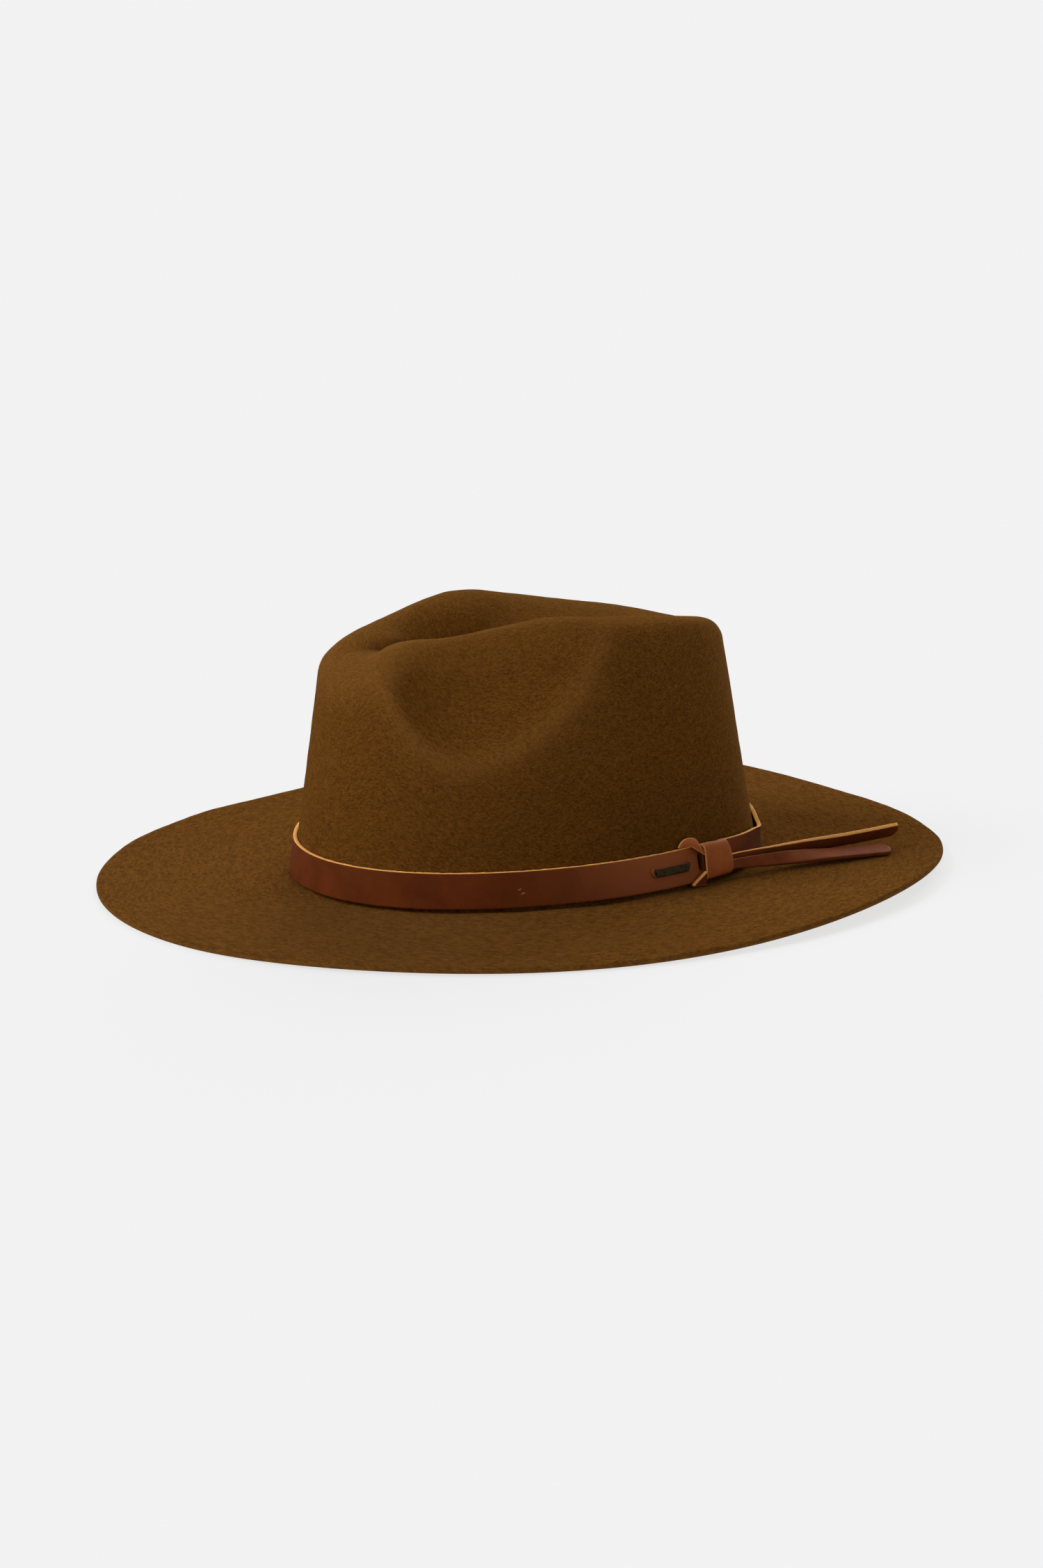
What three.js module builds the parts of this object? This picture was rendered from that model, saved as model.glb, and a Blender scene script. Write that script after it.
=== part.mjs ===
import * as THREE from 'three';

// Wide-brim felt hat with a knotted leather band.
// Millimetres, +Z up. The front faces -Y, the wearer's left is +X, and the brim rests on Z = 0.
// A turn is an angle round the head: 0 at the front, a quarter turn at the wearer's left.

// Felt body. BRIM_CURL, SIDE_ROUNDNESS, CORNER_TURN, PINCH_SQUARE (ahead of the pinch) and
// PINCH_SLANT (behind it) are the powers of their curves. CREASE_SPREAD, PINCH_FADE and
// PINCH_RIM are shares, of the crests' distance, the half width of the top and the pinch.
// TOP_TILT is how much higher the top's left edge may lie than its middle.
const FELT = 2.2;
const HEAD_LENGTH = 202;
const HEAD_WIDTH = 170.5;
const CROWN_SET_BACK = 2;
const TOP_LENGTH = 175;
const TOP_WIDTH = 124;
const TOP_TILT = 7;
const CROWN_HEIGHT = 117;
const SIDE_FALL = 9;
const SIDE_ROUNDNESS = 3;
const CORNER_FRONT = 23;
const CORNER_BACK = 7;
const CORNER_TURN = 4;
const CREASE_DEPTH = 24;
const CREASE_SPREAD = 1.2;
const PINCH_DEPTH = 17;
const PINCH_SQUARE = 2.5;
const PINCH_SLANT = 1.4;
const PINCH_RIM = 0.1;
const PINCH_FADE = 0.4;
const BRIM_LENGTH = 370;
const BRIM_WIDTH = 332;
const BRIM_CURL = 1.3;
const BREAK_LIFT = 1.9;
const BREAK_SIDE_RISE = 1.1;
const BREAK_RADIUS = 3;
const EDGE_LIFT = 2.2;
const EDGE_WAVE = 4;
const REST_BLEND = 0.6;

// Leather. KEEPER_ROUNDNESS is the power of the keeper's curve.
const LEATHER = 1.8;
const CLEARANCE = 0.3;
const BAND_HEIGHT = 15.2;
const KEEPER_WIDTH = 14;
const KEEPER_BULGE = 7.4;
const KEEPER_ROUNDNESS = 0.4;
const LOOP_RADIUS = 2.4;
const LOOP_LENGTH = 9;
const TUCK_LENGTH = 8;
const TUCK_HEIGHT = 6.5;
const TAIL_WIDTH = 8;
const TAIL_ROOT_WIDTH = 4.2;
const TAIL_UPPER_LENGTH = 102;
const TAIL_LOWER_LENGTH = 90;

// Badge
const BADGE_LENGTH = 20;
const BADGE_HEIGHT = 4.2;
const BADGE_THICKNESS = 1;

// Places round the head, in degrees of turn
const BADGE_TURN = 100;
const LOOP_TURN = 107;
const KEEPER_TURN = 115.5;

// Mesh fineness
const AROUND = 72;
const TOP_RINGS = 9;
const CORNER_RINGS = 4;
const WALL_RINGS = 7;
const BREAK_RINGS = 3;
const BRIM_RINGS = 6;
const TAIL_STEPS = 14;

const halfLength = HEAD_LENGTH / 2;
const halfWidth = HEAD_WIDTH / 2;
const topHalfLength = TOP_LENGTH / 2;
const topHalfWidth = TOP_WIDTH / 2;
const brimHalfLength = BRIM_LENGTH / 2;
const brimHalfWidth = BRIM_WIDTH / 2;
const brimDepth = brimHalfLength - halfLength;
const bandFoot = FELT + (BREAK_RADIUS - FELT) / 4 + CLEARANCE;
const bandInner = CLEARANCE;
const bandOuter = CLEARANCE + LEATHER;
const onBand = bandOuter + CLEARANCE;

// Sections of the crown's top from front to back.
// along: share of the half length of the top. height: share of CROWN_HEIGHT.
// crest: half distance between the two crests, share of the half width of the top.
// crease: share of CREASE_DEPTH. tilt: share of TOP_TILT.
const TOP_SECTIONS = [
  { along: -1.00, height: 0.950, crest: 0.50, crease: 0.26, tilt: 0.00 },
  { along: -0.80, height: 0.972, crest: 0.58, crease: 0.56, tilt: 0.00 },
  { along: -0.57, height: 0.962, crest: 0.66, crease: 0.86, tilt: -0.22 },
  { along: -0.34, height: 0.989, crest: 0.72, crease: 1.00, tilt: 0.00 },
  { along: -0.11, height: 1.005, crest: 0.74, crease: 0.95, tilt: 0.27 },
  { along: 0.23, height: 0.971, crest: 0.72, crease: 0.75, tilt: 0.52 },
  { along: 0.57, height: 0.920, crest: 0.66, crease: 0.50, tilt: 0.80 },
  { along: 0.85, height: 0.872, crest: 0.58, crease: 0.25, tilt: 0.82 },
  { along: 1.00, height: 0.836, crest: 0.50, crease: 0.10, tilt: 0.80 },
];

// Waves of the brim's edge, as shares of EDGE_WAVE, by how often each goes round the head.
const EDGE_WAVES = [
  { times: 1, front: -0.55, side: -0.07 },
  { times: 2, front: -0.33, side: 0.35 },
  { times: 3, front: 0.55, side: 0.00 },
  { times: 4, front: -0.33, side: 0.00 },
];

// The pinch in each side of the crown, a bowl. along and rise are its deepest place, as shares of
// the half length of the top and of CROWN_HEIGHT. The others are its reach from there.
const PINCH = { along: -0.66, rise: 0.97, ahead: 0.30, behind: 0.76, above: 0.40, below: 0.46 };

// The two free ends of the strap. layer counts outwards from the band where they lie in the
// keeper. rootUp is the height of the root, as a share of BAND_HEIGHT. bendLate is how far past
// the keeper the bend starts. swing and lean are in degrees. lift is the space below the tip.
// TAIL_ROOT and TAIL_BEND are shares of KEEPER_WIDTH, and TAIL_FREE of the tail's own length.
const TAIL_ROOT = 0.3;
const TAIL_BEND = 0.8;
const TAIL_FREE = 0.75;
const TAILS = {
  upper: { length: TAIL_UPPER_LENGTH, layer: 0, rootUp: 0.45, bendLate: 4, swing: 21, lean: 40, lift: 2 },
  lower: { length: TAIL_LOWER_LENGTH, layer: 1, rootUp: 0.33, bendLate: 0, swing: 27, lean: -58, lift: 0.8 },
};

// Sections of the tuck from its tip to the keeper, as shares of TUCK_LENGTH, TUCK_HEIGHT and LEATHER.
const TUCK_SECTIONS = [
  { before: 1.0, height: 0.15, proud: 0.0 },
  { before: 0.5, height: 0.60, proud: 0.0 },
  { before: 0.0, height: 1.00, proud: 0.5 },
];

function columnCurve(rows, key, column) {
  const places = rows.map((row) => row[key]);
  const values = rows.map((row) => row[column]);
  const curve = new THREE.CubicInterpolant(places, values, 1);
  return (place) => curve.evaluate(THREE.MathUtils.clamp(place, places[0], places.at(-1)))[0];
}

const topHeight = columnCurve(TOP_SECTIONS, 'along', 'height');
const topCrest = columnCurve(TOP_SECTIONS, 'along', 'crest');
const topCrease = columnCurve(TOP_SECTIONS, 'along', 'crease');
const topTilt = columnCurve(TOP_SECTIONS, 'along', 'tilt');

// One at the middle, zero at a reach before or behind it, and smooth between.
function bump(offset, reachBefore, reachBehind) {
  const share = Math.abs(offset) / (offset < 0 ? reachBefore : reachBehind);
  return share >= 1 ? 0 : Math.cos(share * Math.PI / 2) ** 2;
}

// Zero for what would lie below zero, with a soft start above it.
function softFloor(value, blend) {
  if (value <= 0) return 0;
  if (value < 2 * blend) return value * value / (4 * blend);
  return value - blend;
}

function breakHeight(turn) {
  return BREAK_LIFT - BREAK_SIDE_RISE * Math.cos(2 * turn);
}

function edgeHeight(turn) {
  let share = 0;
  for (const wave of EDGE_WAVES) {
    share += wave.front * Math.cos(wave.times * turn);
    share += wave.side * Math.sin(wave.times * turn);
  }
  return EDGE_LIFT + EDGE_WAVE * share;
}

// Height of the crown's top inside the felt, before its edge is rounded.
function topSurface(x, y) {
  const along = (y - CROWN_SET_BACK) / topHalfLength;
  const across = Math.abs(x) / topHalfWidth;
  const crease = bump(across, 1, CREASE_SPREAD * topCrest(along));
  return CROWN_HEIGHT * topHeight(along)
    + TOP_TILT * topTilt(along) * x / topHalfWidth
    - SIDE_FALL * across ** SIDE_ROUNDNESS
    - CREASE_DEPTH * topCrease(along) * crease;
}

// Pushes a point of the crown in towards the middle where the side is pinched.
function pinched(point) {
  const along = (point.y - CROWN_SET_BACK) / topHalfLength - PINCH.along;
  const rise = point.z / CROWN_HEIGHT - PINCH.rise;
  const power = along < 0 ? PINCH_SQUARE : PINCH_SLANT;
  const alongShare = Math.abs(along) / (along < 0 ? PINCH.ahead : PINCH.behind);
  const riseShare = Math.abs(rise) / (rise < 0 ? PINCH.below : PINCH.above);
  const apart = (alongShare ** power + riseShare ** power) ** (2 / power);
  const amount = PINCH_DEPTH * softFloor(1 - apart, PINCH_RIM) / (1 - PINCH_RIM);
  const fade = THREE.MathUtils.smoothstep(Math.abs(point.x), 0, PINCH_FADE * topHalfWidth);
  point.x -= Math.sign(point.x) * amount * fade;
  return point;
}

function ovalPoint(turn, acrossHalf, alongHalf, middle, z) {
  return new THREE.Vector3(acrossHalf * Math.sin(turn), middle - alongHalf * Math.cos(turn), z);
}

function topPoint(turn, share) {
  const point = ovalPoint(turn, share * topHalfWidth, share * topHalfLength, CROWN_SET_BACK, 0);
  point.z = topSurface(point.x, point.y);
  return point;
}

// The straight wall of the crown, share 0 at the corner of the top and 1 at the break.
function wallPoint(turn, share) {
  const foot = ovalPoint(turn, halfWidth, halfLength, CROWN_SET_BACK, breakHeight(turn));
  return topPoint(turn, 1).lerp(foot, share);
}

function cornerSize(turn) {
  const towardsFront = ((1 + Math.cos(turn)) / 2) ** CORNER_TURN;
  return THREE.MathUtils.lerp(CORNER_BACK, CORNER_FRONT, towardsFront);
}

function cornerShares(turn) {
  const wallLength = wallPoint(turn, 0).distanceTo(wallPoint(turn, 1));
  const radius = topPoint(turn, 1).setZ(0).distanceTo(new THREE.Vector3(0, CROWN_SET_BACK, 0));
  return { top: 1 - cornerSize(turn) / radius, wall: cornerSize(turn) / wallLength };
}

function bend(start, corner, end, share) {
  const first = start.clone().lerp(corner, share);
  const second = corner.clone().lerp(end, share);
  return first.lerp(second, share);
}

// The underside of the brim, share 0 at the break and 1 at the edge.
function brimPoint(turn, share) {
  const point = ovalPoint(turn, halfWidth, halfLength, CROWN_SET_BACK, 0);
  point.lerp(ovalPoint(turn, brimHalfWidth, brimHalfLength, 0, 0), share);
  const height = THREE.MathUtils.lerp(breakHeight(turn), edgeHeight(turn), share ** BRIM_CURL);
  point.z = softFloor(height, REST_BLEND);
  return point;
}

// The felt's inner face along one turn, from the middle of the top to the edge of the brim.
function innerProfile(turn) {
  const points = [];
  const shares = cornerShares(turn);
  for (let ring = 1; ring <= TOP_RINGS; ring += 1) {
    points.push(pinched(topPoint(turn, shares.top * ring / TOP_RINGS)));
  }
  const cornerStart = topPoint(turn, shares.top);
  const cornerEnd = wallPoint(turn, shares.wall);
  for (let ring = 1; ring <= CORNER_RINGS; ring += 1) {
    points.push(pinched(bend(cornerStart, topPoint(turn, 1), cornerEnd, ring / CORNER_RINGS)));
  }
  const wallLength = wallPoint(turn, 0).distanceTo(wallPoint(turn, 1));
  const wallEnd = 1 - BREAK_RADIUS / wallLength;
  for (let ring = 1; ring <= WALL_RINGS; ring += 1) {
    points.push(pinched(wallPoint(turn, THREE.MathUtils.lerp(shares.wall, wallEnd, ring / WALL_RINGS))));
  }
  const brimStart = BREAK_RADIUS / brimDepth;
  for (let ring = 1; ring <= BREAK_RINGS; ring += 1) {
    const breakStart = wallPoint(turn, wallEnd);
    const breakCorner = brimPoint(turn, 0);
    points.push(bend(breakStart, breakCorner, brimPoint(turn, brimStart), ring / BREAK_RINGS));
  }
  for (let ring = 1; ring <= BRIM_RINGS; ring += 1) {
    points.push(brimPoint(turn, THREE.MathUtils.lerp(brimStart, 1, ring / BRIM_RINGS)));
  }
  return points;
}

function turnOf(step) {
  return 2 * Math.PI * (step % AROUND) / AROUND;
}

// The outward direction at one point of the grid, from its neighbours.
function gridNormal(profiles, step, ring) {
  const profile = profiles[step];
  const nextProfile = profiles[(step + 1) % AROUND];
  const lastProfile = profiles[(step + AROUND - 1) % AROUND];
  const down = profile[Math.min(ring + 1, profile.length - 1)].clone().sub(profile[Math.max(ring - 1, 0)]);
  const around = nextProfile[ring].clone().sub(lastProfile[ring]);
  return down.cross(around).normalize();
}

const innerGrid = Array.from({ length: AROUND }, (unused, step) => innerProfile(turnOf(step)));
const outerGrid = innerGrid.map((profile, step) => profile.map((point, ring) => {
  const normal = gridNormal(innerGrid, step, ring);
  return point.clone().addScaledVector(normal, FELT);
}));

function geometryFrom(points, faces) {
  const geometry = new THREE.BufferGeometry().setFromPoints(points);
  geometry.setIndex(faces.flat());
  geometry.computeVertexNormals();
  return geometry;
}

// A closed body from a ring of equal profiles, each a closed loop of points.
function closedRing(profiles) {
  const size = profiles[0].length;
  const faces = [];
  profiles.forEach((unused, step) => {
    const next = (step + 1) % profiles.length;
    for (let place = 0; place < size; place += 1) {
      const after = (place + 1) % size;
      const corners = [step * size + place, step * size + after, next * size + after, next * size + place];
      faces.push([corners[0], corners[1], corners[2]], [corners[0], corners[2], corners[3]]);
    }
  });
  return geometryFrom(profiles.flat(), faces);
}

// A closed body from a row of equal sections, capped at both ends.
function cappedRow(sections) {
  const size = sections[0].length;
  const faces = [];
  for (let step = 0; step + 1 < sections.length; step += 1) {
    for (let place = 0; place < size; place += 1) {
      const after = (place + 1) % size;
      const corners = [step * size + place, step * size + after];
      faces.push([corners[0], corners[1], corners[1] + size], [corners[0], corners[1] + size, corners[0] + size]);
    }
  }
  const last = (sections.length - 1) * size;
  for (let place = 1; place + 1 < size; place += 1) {
    faces.push([0, place + 1, place], [last, last + place, last + place + 1]);
  }
  return geometryFrom(sections.flat(), faces);
}

function feltBody() {
  const rings = innerGrid[0].length;
  const innerTop = new THREE.Vector3(0, CROWN_SET_BACK, topSurface(0, CROWN_SET_BACK));
  const outerTop = innerTop.clone().setZ(innerTop.z + FELT);
  const points = [innerTop, outerTop];
  const faces = [];
  const index = (side, step, ring) => 2 + ((step % AROUND) * rings + ring) * 2 + side;
  for (let step = 0; step < AROUND; step += 1) {
    for (let ring = 0; ring < rings; ring += 1) {
      points.push(innerGrid[step][ring], outerGrid[step][ring]);
    }
  }
  const quad = (a, b, c, d) => faces.push([a, b, c], [a, c, d]);
  for (let step = 0; step < AROUND; step += 1) {
    faces.push([0, index(0, step + 1, 0), index(0, step, 0)]);
    faces.push([1, index(1, step, 0), index(1, step + 1, 0)]);
    for (let ring = 0; ring + 1 < rings; ring += 1) {
      quad(index(0, step, ring), index(0, step + 1, ring), index(0, step + 1, ring + 1), index(0, step, ring + 1));
      quad(index(1, step, ring), index(1, step, ring + 1), index(1, step + 1, ring + 1), index(1, step + 1, ring));
    }
    const edge = rings - 1;
    quad(index(0, step, edge), index(0, step + 1, edge), index(1, step + 1, edge), index(1, step, edge));
  }
  return geometryFrom(points, faces);
}

// A place on the outside of the crown's foot: its point, and the directions out, along and up.
function crownFrame(turn) {
  const foot = wallPoint(turn, 1);
  const head = wallPoint(turn, 0);
  const up = head.clone().sub(foot).normalize();
  const along = wallPoint(turn + 0.01, 1).sub(wallPoint(turn - 0.01, 1)).normalize();
  const out = along.clone().cross(up).normalize();
  const side = up.clone().cross(out).normalize();
  const origin = foot.clone().addScaledVector(out, FELT);
  return { origin, out, up, along: side };
}

// A point given by its distance from the wall, along the band and above the band's foot.
function crownPlace(frame, out, along, up) {
  return frame.origin.clone()
    .addScaledVector(frame.out, out)
    .addScaledVector(frame.along, along)
    .addScaledVector(frame.up, bandFoot + up);
}

function hatBand() {
  const profiles = [];
  for (let step = 0; step < AROUND; step += 1) {
    const frame = crownFrame(turnOf(step));
    profiles.push([
      crownPlace(frame, bandInner, 0, BAND_HEIGHT),
      crownPlace(frame, bandOuter, 0, BAND_HEIGHT),
      crownPlace(frame, bandOuter, 0, 0),
      crownPlace(frame, bandInner, 0, 0),
    ]);
  }
  return closedRing(profiles);
}

// Four corners of a strap's section, round a middle point.
function strapSection(middle, widthDirection, thickDirection, width, thickness) {
  const corner = (acrossShare, throughShare) => middle.clone()
    .addScaledVector(widthDirection, acrossShare * width / 2)
    .addScaledVector(thickDirection, throughShare * thickness / 2);
  return [corner(-1, -1), corner(1, -1), corner(1, 1), corner(-1, 1)];
}

function degrees(turn) {
  return THREE.MathUtils.degToRad(turn);
}

// A strap bent round an upright circle or oval on the outside of the band.
function bentStrap(turn, width, angles, placeAt, radialAt) {
  const frame = crownFrame(degrees(turn));
  return cappedRow(angles.map((angle) => {
    const place = placeAt(angle);
    const radial = radialAt(angle);
    const middle = crownPlace(frame, place.out, 0, place.up);
    const through = frame.out.clone().multiplyScalar(radial.out).addScaledVector(frame.up, radial.up);
    return strapSection(middle, frame.along.clone().negate(), through.normalize(), width, LEATHER);
  }));
}

function anglesBetween(first, last, steps) {
  return Array.from({ length: steps + 1 }, (unused, step) => THREE.MathUtils.lerp(first, last, step / steps));
}

// The keeper bulges out over the roots of the tails, from the foot of the band to its top.
function knotKeeper() {
  const rise = (BAND_HEIGHT - LEATHER) / 2;
  const reach = KEEPER_BULGE - CLEARANCE - LEATHER / 2;
  const placeAt = (angle) => ({
    out: onBand + reach * Math.max(Math.cos(angle), 0) ** KEEPER_ROUNDNESS,
    up: BAND_HEIGHT / 2 + rise * Math.sin(angle),
  });
  const radialAt = (angle) => ({ out: rise * Math.cos(angle), up: reach * Math.sin(angle) });
  return bentStrap(KEEPER_TURN, KEEPER_WIDTH, anglesBetween(-Math.PI / 2, Math.PI / 2, 12), placeAt, radialAt);
}

// The loop is a fold rolled over the band's top edge, from its outer face to just above the edge.
function knotLoop() {
  const middleOut = bandInner + LEATHER / 2 + LOOP_RADIUS;
  const outerRadius = LOOP_RADIUS + LEATHER / 2;
  const first = -Math.acos(THREE.MathUtils.clamp((onBand - middleOut) / outerRadius, -1, 1));
  const placeAt = (angle) => ({
    out: middleOut + LOOP_RADIUS * Math.cos(angle),
    up: BAND_HEIGHT + CLEARANCE + LOOP_RADIUS * Math.sin(angle),
  });
  const radialAt = (angle) => ({ out: Math.cos(angle), up: Math.sin(angle) });
  return bentStrap(LOOP_TURN, LOOP_LENGTH, anglesBetween(first, Math.PI, 12), placeAt, radialAt);
}

// The tuck is the corner of the strap that comes out below the keeper, towards the front.
function knotTuck() {
  const frame = crownFrame(degrees(KEEPER_TURN));
  const start = -KEEPER_WIDTH / 2 - CLEARANCE;
  const out = onBand + LEATHER / 2;
  return cappedRow(TUCK_SECTIONS.map((section) => {
    const height = section.height * TUCK_HEIGHT;
    const along = start - section.before * TUCK_LENGTH;
    const middle = crownPlace(frame, out + section.proud * LEATHER, along, height / 2);
    return strapSection(middle, frame.up, frame.out, height, LEATHER);
  }));
}

// How far out on the brim a place in plan lies, 0 at the break and 1 at the edge, and its turn.
function brimShareAt(x, y) {
  let low = 0;
  let high = 1;
  for (let pass = 0; pass < 24; pass += 1) {
    const share = (low + high) / 2;
    const across = x / THREE.MathUtils.lerp(halfWidth, brimHalfWidth, share);
    const middle = THREE.MathUtils.lerp(CROWN_SET_BACK, 0, share);
    const along = (y - middle) / THREE.MathUtils.lerp(halfLength, brimHalfLength, share);
    if (Math.hypot(across, along) > 1) low = share;
    else high = share;
  }
  const middle = THREE.MathUtils.lerp(CROWN_SET_BACK, 0, low);
  const across = x / THREE.MathUtils.lerp(halfWidth, brimHalfWidth, low);
  const along = (y - middle) / THREE.MathUtils.lerp(halfLength, brimHalfLength, low);
  return { share: low, turn: Math.atan2(across, -along) };
}

function brimTop(x, y) {
  const place = brimShareAt(x, y);
  return brimPoint(place.turn, place.share).z + FELT;
}

// A free end of the strap. It leaves the keeper along the band, swings away from the crown,
// comes down towards the brim and leans over as it goes.
function strapTail(tail) {
  const frame = crownFrame(degrees(KEEPER_TURN));
  const heading = frame.along.clone().setZ(0).normalize();
  const rootOut = onBand + LEATHER / 2 + tail.layer * (LEATHER + CLEARANCE);
  const root = crownPlace(frame, rootOut, -TAIL_ROOT * KEEPER_WIDTH, tail.rootUp * BAND_HEIGHT);
  const rootHeight = root.z - brimTop(root.x, root.y);
  const bendStart = TAIL_BEND * KEEPER_WIDTH + tail.bendLate;
  const stepLength = tail.length / TAIL_STEPS;
  const place = root.clone();
  const sections = [];
  for (let step = 0; step <= TAIL_STEPS; step += 1) {
    const gone = step * stepLength;
    const swing = degrees(tail.swing) * THREE.MathUtils.smoothstep(gone, bendStart, bendStart + KEEPER_WIDTH);
    const direction = heading.clone().applyAxisAngle(new THREE.Vector3(0, 0, 1), -swing);
    if (step > 0) place.addScaledVector(direction, stepLength);
    const free = THREE.MathUtils.smoothstep(gone, bendStart, TAIL_FREE * tail.length);
    const lean = THREE.MathUtils.lerp(-Math.acos(frame.up.z), degrees(tail.lean), free);
    const width = THREE.MathUtils.lerp(TAIL_ROOT_WIDTH, TAIL_WIDTH, free);
    const halfHeight = (width * Math.cos(lean) + LEATHER * Math.abs(Math.sin(lean))) / 2;
    const share = Math.max(gone - bendStart, 0) / (tail.length - bendStart);
    const height = THREE.MathUtils.lerp(rootHeight, halfHeight + tail.lift, share);
    const middle = place.clone().setZ(brimTop(place.x, place.y) + height);
    const side = direction.clone().cross(new THREE.Vector3(0, 0, 1));
    const across = new THREE.Vector3(0, 0, Math.cos(lean)).addScaledVector(side, Math.sin(lean));
    const through = direction.clone().cross(across);
    sections.push(strapSection(middle, across, through, width, LEATHER));
  }
  return cappedRow(sections);
}

function badgePlate() {
  const halfTurn = THREE.MathUtils.radToDeg(BADGE_LENGTH / 2 / halfLength);
  const turns = anglesBetween(BADGE_TURN - halfTurn, BADGE_TURN + halfTurn, 4);
  return cappedRow(turns.map((turn) => {
    const frame = crownFrame(degrees(turn));
    const middle = crownPlace(frame, onBand + BADGE_THICKNESS / 2, 0, BAND_HEIGHT / 2);
    return strapSection(middle, frame.up, frame.out, BADGE_HEIGHT, BADGE_THICKNESS);
  }));
}

const leather = (color) => new THREE.MeshStandardMaterial({ color, roughness: 0.5, metalness: 0 });
const materials = {
  felt: new THREE.MeshStandardMaterial({ color: 0x6b4520, roughness: 0.95, metalness: 0 }),
  band: leather(0x5a2914),
  knot: leather(0x7d4b1e),
  badge: new THREE.MeshStandardMaterial({ color: 0x2e2a20, roughness: 0.4, metalness: 1 }),
};

const group = new THREE.Group();

function addPiece(name, geometry, material) {
  const mesh = new THREE.Mesh(geometry, material.clone());
  mesh.name = name;
  group.add(mesh);
}

addPiece('felt_body', feltBody(), materials.felt);
addPiece('hat_band', hatBand(), materials.band);
addPiece('knot_keeper', knotKeeper(), materials.knot);
addPiece('knot_loop', knotLoop(), materials.knot);
addPiece('knot_tuck', knotTuck(), materials.knot);
addPiece('tail_upper', strapTail(TAILS.upper), materials.band);
addPiece('tail_lower', strapTail(TAILS.lower), materials.band);
addPiece('badge_plate', badgePlate(), materials.badge);

export default group;
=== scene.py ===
import math

import bpy
import numpy as np
from mathutils import Matrix, Vector, noise


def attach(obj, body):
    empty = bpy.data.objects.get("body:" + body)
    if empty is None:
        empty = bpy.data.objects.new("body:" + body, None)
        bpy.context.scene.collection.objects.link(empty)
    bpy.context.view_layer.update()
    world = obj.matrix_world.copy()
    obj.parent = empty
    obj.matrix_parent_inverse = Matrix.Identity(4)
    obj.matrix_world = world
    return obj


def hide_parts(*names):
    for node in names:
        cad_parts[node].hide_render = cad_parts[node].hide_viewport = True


# Wide-brim felt hat with a knotted leather band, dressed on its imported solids.
# Sizes are in millimetres, as in the solids, and add_mesh() turns them into metres. The camera and the
# materials are in metres from the start.
# The front faces -Y and the wearer's left is +X. A turn is an angle round the head from the front.

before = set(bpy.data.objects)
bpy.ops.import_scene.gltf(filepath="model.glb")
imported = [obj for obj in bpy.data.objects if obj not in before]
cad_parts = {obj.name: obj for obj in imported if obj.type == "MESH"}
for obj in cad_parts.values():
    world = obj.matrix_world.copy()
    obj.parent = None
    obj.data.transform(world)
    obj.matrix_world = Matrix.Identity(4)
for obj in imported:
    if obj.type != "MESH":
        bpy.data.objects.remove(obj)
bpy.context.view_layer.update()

MM = 0.001

# Felt body
FELT = 2.2
HEAD_LENGTH = 202
HEAD_WIDTH = 170.5
CROWN_SET_BACK = 2
TOP_LENGTH = 175
TOP_WIDTH = 124
TOP_TILT = 7
CROWN_HEIGHT = 117
SIDE_FALL = 9
SIDE_ROUNDNESS = 3
CORNER_FRONT = 23
CORNER_BACK = 7
CORNER_TURN = 4
CREASE_DEPTH = 24
CREASE_SPREAD = 1.2
PINCH_DEPTH = 17
PINCH_SQUARE = 2.5
PINCH_SLANT = 1.4
PINCH_RIM = 0.10
PINCH_FADE = 0.4
BRIM_LENGTH = 370
BRIM_WIDTH = 332
BRIM_CURL = 1.3
BREAK_LIFT = 1.9
BREAK_SIDE_RISE = 1.1
BREAK_RADIUS = 3
EDGE_LIFT = 2.2
EDGE_WAVE = 4
REST_BLEND = 0.6
CUT_BULGE = 0.45

# Leather
LEATHER = 1.8
CLEARANCE = 0.3
BAND_HEIGHT = 15.2
THIN_LEATHER = 0.95
STRAP_CORNER = 0.5
CORNER_SHARE = 0.4

# Places round the head, in degrees of turn
BADGE_TURN = 101.2
LOOP_TURN = 107
KEEPER_TURN = 115.5

# Unevenness of the surfaces: the length and height of its waves, and the seed of its noise
FELT_WAVES = {"scale": 28, "amount": 0.45, "seed": 3.1}
FELT_LUMPS = {"scale": 6, "amount": 0.12, "seed": 7.7}
BAND_WAVES = {"scale": 22, "amount": 0.25, "seed": 5.0}
BAND_FRAY = {"scale": 2.2, "amount": 0.16, "seed": 9.0}
KEEPER_WAVES = {"scale": 5, "amount": 0.22, "seed": 2.0}
STRAP_WAVE = 3.5

# Mesh fineness of the felt
AROUND = 432
TOP_RINGS = 56
CORNER_RINGS = 22
WALL_RINGS = 50
BREAK_RINGS = 8
BRIM_RINGS = 48
CUT_RINGS = 6
LINING_STEP = 5
EDGE_RUN = 3
RIDGE_ROUNDS = 60
RIDGELESS_RINGS = 6

# Mesh fineness of the leather and the badge
BAND_AROUND = 720
BAND_FACE_POINTS = 22
KEEPER_FACE_POINTS = 24
FACE_POINTS = 15
SIDE_POINTS = 3
CORNER_POINTS = 3
KEEPER_POINTS = 65
LOOP_POINTS = 61
TUCK_POINTS = 25
TAIL_STEPS = 70
BADGE_POINTS = 41
BRACKET_POINTS = 33
WIRE_POINTS = 12

# Small steps that slopes are taken over, and how often a search halves its range
TURN_STEP = 0.01
ANGLE_STEP = 0.001
HALVINGS = 24

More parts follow.
